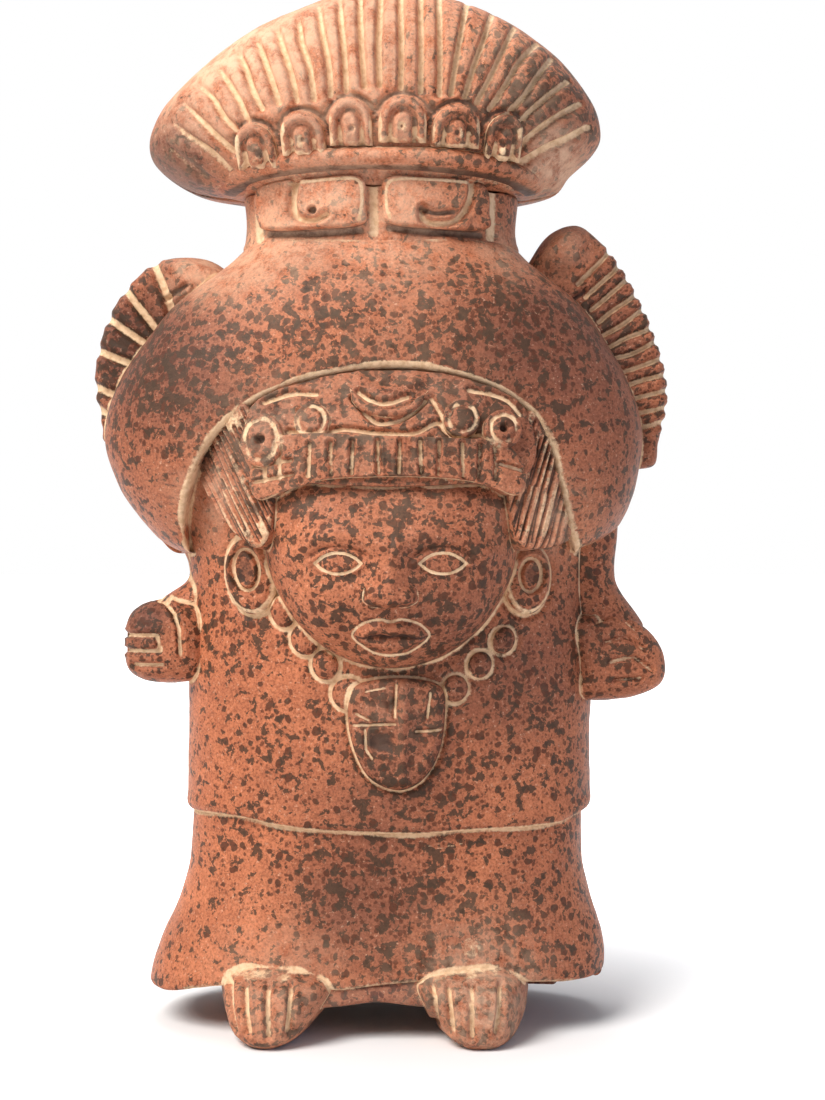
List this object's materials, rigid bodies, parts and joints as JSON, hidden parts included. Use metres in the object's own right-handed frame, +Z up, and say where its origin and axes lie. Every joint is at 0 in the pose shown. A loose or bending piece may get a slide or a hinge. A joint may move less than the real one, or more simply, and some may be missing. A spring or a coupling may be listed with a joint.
{
  "type": "pottery ceremonial figure",
  "caption": "Hollow burnished clay figure standing on two feet, with a fan crest, arched cape, decorated headdress, bead necklace and flared skirt.",
  "frame": {"origin": "on the surface it stands on, under the middle of the figure", "axes": "+Z up, -Y the way the figure faces, +X to the right of someone who looks it in the face"},
  "size_m": [0.16, 0.0896, 0.2803],
  "materials": {
    "burnished_clay": "red earthenware burnished to a low shine, with dark speckles",
    "modelled_clay": "red earthenware with dark speckles, and pale clay left in its grooves",
    "raw_clay": "unburnished earthenware"
  },
  "bodies": {
    "root": {"skirt_front": "burnished_clay", "skirt_back": "burnished_clay", "tunic_front": "burnished_clay", "tunic_back": "burnished_clay", "cape_front": "burnished_clay", "cape_back": "burnished_clay", "neck_front": "burnished_clay", "neck_back": "burnished_clay", "scroll_left": "burnished_clay", "scroll_right": "burnished_clay", "neck_roll": "burnished_clay", "crest_front": "burnished_clay", "crest_back": "burnished_clay", "petal_1": "modelled_clay", "petal_2": "modelled_clay", "petal_3": "modelled_clay", "petal_4": "modelled_clay", "petal_5": "modelled_clay", "petal_6": "modelled_clay", "face": "modelled_clay", "headdress_cap": "modelled_clay", "hair_left": "modelled_clay", "hair_right": "modelled_clay", "headband": "modelled_clay", "rosette_outer_left": "modelled_clay", "rosette_inner_left": "modelled_clay", "rosette_inner_right": "modelled_clay", "rosette_outer_right": "modelled_clay", "brow_crescent": "modelled_clay", "ear_spool_left": "modelled_clay", "ear_spool_right": "modelled_clay", "pendant": "modelled_clay", "bead_left_1": "modelled_clay", "bead_left_2": "modelled_clay", "bead_left_3": "modelled_clay", "bead_left_4": "modelled_clay", "bead_right_1": "modelled_clay", "bead_right_2": "modelled_clay", "bead_right_3": "modelled_clay", "hand_left": "modelled_clay", "sleeve_left": "burnished_clay", "hand_right": "modelled_clay", "sleeve_right": "burnished_clay", "base_slab": "raw_clay", "foot_left": "modelled_clay", "foot_right": "modelled_clay", "shoulder_fan_left": "modelled_clay", "shoulder_fan_right": "modelled_clay"}
  },
  "joints": []
}
